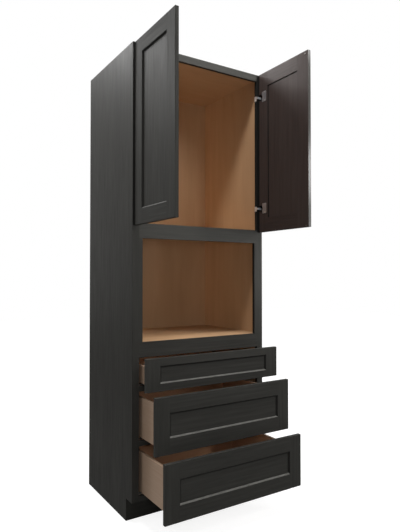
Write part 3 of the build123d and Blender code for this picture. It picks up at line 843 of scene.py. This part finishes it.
def surround(scene, studio):
    """White all round for the camera and for reflections, and an even light on the object."""
    world = bpy.data.worlds.new("white_room")
    scene.world = world
    world.use_nodes = True
    tree = world.node_tree
    tree.nodes.clear()
    white = add_node(tree, "ShaderNodeBackground", {"Color": WHITE, "Strength": 1.0})
    light = add_node(tree, "ShaderNodeBackground", {"Color": WHITE, "Strength": studio.room})
    path = tree.nodes.new("ShaderNodeLightPath").outputs
    seen = maths(tree, "MAXIMUM", path["Is Camera Ray"], path["Is Glossy Ray"])
    seen = maths(tree, "MAXIMUM", seen, path["Is Transmission Ray"])
    rays = {0: seen, 1: light.outputs[0], 2: white.outputs[0]}
    choose = add_node(tree, "ShaderNodeMixShader", rays)
    add_node(tree, "ShaderNodeOutputWorld", {"Surface": choose.outputs[0]})


def hang_lamp(scene, name, place, aim, size, power, spread=180.0):
    """A square soft lamp at a place, aimed at a point and hidden from the camera.

    The spread is in degrees."""
    data = bpy.data.lights.new(name, "AREA")
    data.shape = "SQUARE"
    data.size = size
    data.energy = power
    data.spread = math.radians(spread)
    lamp = bpy.data.objects.new(name, data)
    scene.collection.objects.link(lamp)
    toward = Vector(aim) - Vector(place)
    lamp.location = place
    lamp.rotation_euler = toward.to_track_quat("-Z", "Y").to_euler()
    lamp.visible_camera = False


def stand_camera(scene, studio):
    """The camera at the photograph's viewing angle."""
    data = bpy.data.cameras.new("camera")
    data.lens = studio.lens
    data.sensor_width = 36.0
    data.clip_end = 60.0
    camera = bpy.data.objects.new("camera", data)
    scene.collection.objects.link(camera)
    camera.location = CAMERA_PLACE
    tilt, turn = math.radians(90.0 + CAMERA_TILT), math.radians(CAMERA_TURN)
    camera.rotation_euler = Euler((tilt, 0.0, turn))
    scene.camera = camera


class CABINET_OT_grain(Operator):
    """Build the grain, layer, wear, painted light and shade, and texture groups that the finishes
    share
    """

    bl_idname = "cabinet.grain"
    bl_label = "Grain groups"

    def execute(self, context):
        wood_figure()
        coloured_wood(
            "stained_grain", bands=0.30, fibres=0.42, blotches=0.28, smooth=0.48, rough=0.62
        )
        coloured_wood(
            "natural_grain", bands=0.42, fibres=0.20, blotches=0.38, smooth=0.42, rough=0.55
        )
        ply_layers()
        bevel_light_and_shade()
        recess_shade()
        inward_faces()
        running_tone()
        door_wear_and_shade()
        fine_texture()
        return {"FINISHED"}


class CABINET_OT_face_frame(Operator):
    """Stain the face frame and the toe board"""

    bl_idname = "cabinet.face_frame"
    bl_label = "Face frame"

    def execute(self, context):
        finishes, sizes, _ = settings(context)
        # Painted shade: the stiles' faces that look into the openings get deep stain and the
        # darkest colour.
        shaded_inner_edge = (finishes.stain_deep, finishes.painted_shade)
        upright = stained_wood(
            "frame_stain_upright", "Z", finishes, sizes, "Middle", inside=shaded_inner_edge
        )
        shade_beside_doors(upright, finishes)
        across = stained_wood("frame_stain_across", "X", finishes, sizes)
        # Painted light: the upper rails grow paler toward the left.
        painted_light_to_left = tone_along("X", SIDE_LOW.x, -SIDE_LOW.x, first=1.5, last=1.05)
        upper = stained_wood("frame_stain_upper", "X", finishes, sizes, fade=painted_light_to_left)
        finish(upright, "stiles", "oven_strips")
        finish(upper, "top_rail", "middle_rail")
        finish(across, "oven_rail", "drawer_rails", "bottom_rail", "toe_kick_board")
        return {"FINISHED"}


class CABINET_OT_case(Operator):
    """Veneer the boards of the case, stain their outer sides and show the layers at their edges"""

    bl_idname = "cabinet.case"
    bl_label = "Case boards"

    def execute(self, context):
        finishes, sizes, _ = settings(context)
        outer = -SIDE_LOW.x - STAIN_DEPTH
        # Painted light and shade: the side boards' veneer runs from darker at the front to paler
        # at the back, and the back board's from darker at the left to paler at the right.
        painted_light_to_back = tone_along("Y", SIDE_LOW.y, SIDE_HIGH.y, first=0.80, last=1.28)
        painted_light_to_right = tone_along("X", SIDE_LOW.x, -SIDE_LOW.x, first=0.60, last=1.10)
        sides = veneered_board(
            "side_board", "Z", "X", finishes, sizes, SIDE_GLOSS, outside=outer, fade=painted_light_to_back
        )
        back = veneered_board(
            "back_board", "Z", "Y", finishes, sizes, BOARD_GLOSS, fade=painted_light_to_right
        )
        floors = veneered_board("floor_board", "X", "Z", finishes, sizes, BOARD_GLOSS)
        finish(sides, "left_side_panel", "right_side_panel")
        finish(back, "back_panel")
        finish(floors, "top_panel", "upper_floor", "oven_floor", "bottom_panel")
        return {"FINISHED"}


class CABINET_OT_doors(Operator):
    """Stain and polish the stiles, rails and panels of both doors, which stand open, and paint
    light and shade on them
    """

    bl_idname = "cabinet.doors"
    bl_label = "Doors"

    def execute(self, context):
        finishes, sizes, _ = settings(context)
        # Painted shade: the doors' colour darkens toward their heads.
        head_from, darkest_from = DOOR_HIGH.z - sizes.head, DOOR_HIGH.z - sizes.full_head
        shaded_head = tone_along("Z", head_from, darkest_from, first=1.0, last=HEAD_SHADE)
        upright = stained_wood(
            "door_stain_upright", "Z", finishes, sizes, "Middle", fade=shaded_head
        )
        across = stained_wood(
            "door_stain_across", "Y", finishes, sizes, "Middle", fade=shaded_head, highlit=RAIL_HIGHLIGHT
        )
        sunken = shown_panel("left_door_panel", "x")
        panels = stained_wood(
            "door_stain_panel", "Z", finishes, sizes, "Middle", sunken=sunken, lacquer=MATT_LACQUER
        )
        polish_and_shade_door(upright, finishes, sizes, STILE_SHEEN, MATT_HEAD)
        polish_and_shade_door(across, finishes, sizes, RAIL_SHEEN, MATT_HEAD)
        polish_and_shade_door(panels, finishes, sizes, PANEL_SHEEN)
        for side in DOORS:
            finish(upright, f"{side}_door_stiles")
            finish(panels, f"{side}_door_panel")
            finish(across, f"{side}_door_rails")
        return {"FINISHED"}


class CABINET_OT_drawer_fronts(Operator):
    """Stain the frames and panels of the three drawer fronts"""

    bl_idname = "cabinet.drawer_fronts"
    bl_label = "Drawer fronts"

    def execute(self, context):
        finishes, sizes, _ = settings(context)
        upright = stained_wood("front_stain_upright", "Z", finishes, sizes, "Back")
        across = stained_wood("front_stain_across", "X", finishes, sizes, "Back")
        for name in DRAWERS:
            sunken = shown_panel(f"{name}_front_panel", "y")
            panel = stained_wood(
                f"{name}_panel_stain", "X", finishes, sizes, "Back", sunken=sunken
            )
            finish(upright, f"{name}_front_stiles")
            finish(panel, f"{name}_front_panel")
            finish(across, f"{name}_front_rails")
        return {"FINISHED"}


class CABINET_OT_drawer_boxes(Operator):
    """Finish the dovetailed boxes and their bottoms"""

    bl_idname = "cabinet.drawer_boxes"
    bl_label = "Drawer boxes"

    def execute(self, context):
        finishes, sizes, _ = settings(context)
        sides = lacquered_box_wood("box_side_wood", "Y", "Middle", finishes, sizes)
        ends = lacquered_box_wood("box_end_wood", "X", "Depthwise", finishes, sizes)
        bottoms = lacquered_box_wood("box_bottom_wood", "X", "Up", finishes, sizes)
        for name in DRAWERS:
            finish(sides, f"{name}_box_sides")
            finish(ends, f"{name}_box_ends")
            finish(bottoms, f"{name}_box_bottom")
        return {"FINISHED"}


class CABINET_OT_metalwork(Operator):
    """Plate the slides, hinges and screws"""

    bl_idname = "cabinet.metalwork"
    bl_label = "Slides, hinges and screws"

    def execute(self, context):
        finishes, sizes, _ = settings(context)
        zinc = finishes.plating
        slides = textured(
            "slide_plating", zinc, size=0.0008, smooth=0.30, rough=0.42, Metallic=1.0
        )
        screws = textured(
            "screw_plating", zinc, size=0.0006, smooth=0.25, rough=0.38, Metallic=1.0
        )
        hinges = nickel("hinge_plating", finishes.hinge_plating)
        cups = cup_metal(finishes, sizes)
        finish(slides, "slide_channels")
        finish(hinges, "hinge_arms")
        finish(screws, "mounting_screws")
        for side in DOORS:
            finish(cups, f"{side}_hinge_cups")
            finish(hinges, f"{side}_hinge_pins")
            finish(screws, f"{side}_cup_screws")
        for name in DRAWERS:
            finish(slides, f"{name}_box_runners", f"{name}_slide_links")
            finish(screws, f"{name}_front_screws")
        return {"FINISHED"}


class CABINET_OT_mouldings(Operator):
    """Finish the plastic brackets and the rubber bumpers"""

    bl_idname = "cabinet.mouldings"
    bl_label = "Brackets and bumpers"

    def execute(self, context):
        finishes, _, _ = settings(context)
        plastic = textured(
            "bracket_plastic",
            finishes.bracket,
            size=0.0005,
            smooth=0.45,
            rough=0.6,
            gloss=MOULDED_GLOSS,
            relief=MOULDED_RELIEF,
        )
        rubber = textured(
            "bumper_rubber",
            finishes.bumper,
            size=0.0008,
            smooth=0.3,
            rough=0.5,
            gloss=MOULDED_GLOSS,
        )
        finish(plastic, "slide_rear_brackets")
        for side in DOORS:
            finish(rubber, f"{side}_door_bumpers")
        return {"FINISHED"}


class CABINET_OT_stage(Operator):
    """Set up the pale floor, the white surroundings, the lamps and the camera"""

    bl_idname = "cabinet.stage"
    bl_label = "Stage"

    def execute(self, context):
        _, _, studio = settings(context)
        scene = context.scene
        scene.view_settings.view_transform = "Standard"
        lay_floor(scene, studio)
        surround(scene, studio)
        near_spread = 90.0
        # Each lamp's name, place, aim, width and power, and its spread where it is narrow.
        for lamp in (
            ("key_lamp", (-0.5, -0.89, 3.9), (0.0, -0.1, 1.4), 0.4, studio.key),
            ("right_high_lamp", (0.6, -1.0, 2.9), (0.0, -0.1, 1.2), 0.6, studio.right_high),
            ("right_far_lamp", (2.4, -2.2, 1.4), (0.0, -0.1, 1.1), 1.0, studio.right_far),
            ("right_rim_lamp", (2.35, -2.45, 2.35), (0.2, -0.1, 1.5), 0.5, studio.right_rim),
            (
                "right_near_lamp",
                (0.8, -0.75, 1.35),
                (0.2, -0.1, 1.42),
                0.3,
                studio.right_near,
                near_spread,
            ),
            ("low_front_lamp", (-1.3, -2.2, 1.3), (0.1, -0.1, 0.6), 0.5, studio.low_front),
            ("left_lamp", (-2.0, -0.2, 2.6), (-0.4, 0.0, 1.6), 0.8, studio.left),
            ("left_back_lamp", (-1.6, 2.4, 4.2), (-0.4, 0.1, 1.8), 1.2, studio.left_back),
        ):
            hang_lamp(scene, *lamp)
        stand_camera(scene, studio)
        return {"FINISHED"}


STEPS = (
    "grain",
    "face_frame",
    "case",
    "doors",
    "drawer_fronts",
    "drawer_boxes",
    "metalwork",
    "mouldings",
    "stage",
)


class CABINET_PT_panel(Panel):
    """The cabinet's pieces, finishes and stage"""

    bl_idname = "CABINET_PT_panel"
    bl_label = "Cabinet"
    bl_space_type = "VIEW_3D"
    bl_region_type = "UI"
    bl_category = "Cabinet"

    def draw(self, context):
        for group in settings(context):
            box = self.layout.box()
            for name in group.__annotations__:
                box.prop(group, name)
        for step in STEPS:
            self.layout.operator(f"cabinet.{step}")


CLASSES = (
    CabinetFinishes,
    CabinetSizes,
    CabinetStudio,
    CABINET_OT_grain,
    CABINET_OT_face_frame,
    CABINET_OT_case,
    CABINET_OT_doors,
    CABINET_OT_drawer_fronts,
    CABINET_OT_drawer_boxes,
    CABINET_OT_metalwork,
    CABINET_OT_mouldings,
    CABINET_OT_stage,
    CABINET_PT_panel,
)


def register():
    for item in CLASSES:
        bpy.utils.register_class(item)
    bpy.types.Scene.cabinet_finishes = PointerProperty(type=CabinetFinishes)
    bpy.types.Scene.cabinet_sizes = PointerProperty(type=CabinetSizes)
    bpy.types.Scene.cabinet_studio = PointerProperty(type=CabinetStudio)


def unregister():
    del bpy.types.Scene.cabinet_studio
    del bpy.types.Scene.cabinet_sizes
    del bpy.types.Scene.cabinet_finishes
    for item in reversed(CLASSES):
        bpy.utils.unregister_class(item)


def main():
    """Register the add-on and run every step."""
    register()
    for step in STEPS:
        getattr(bpy.ops.cabinet, step)()


if __name__ == "__main__":
    main()
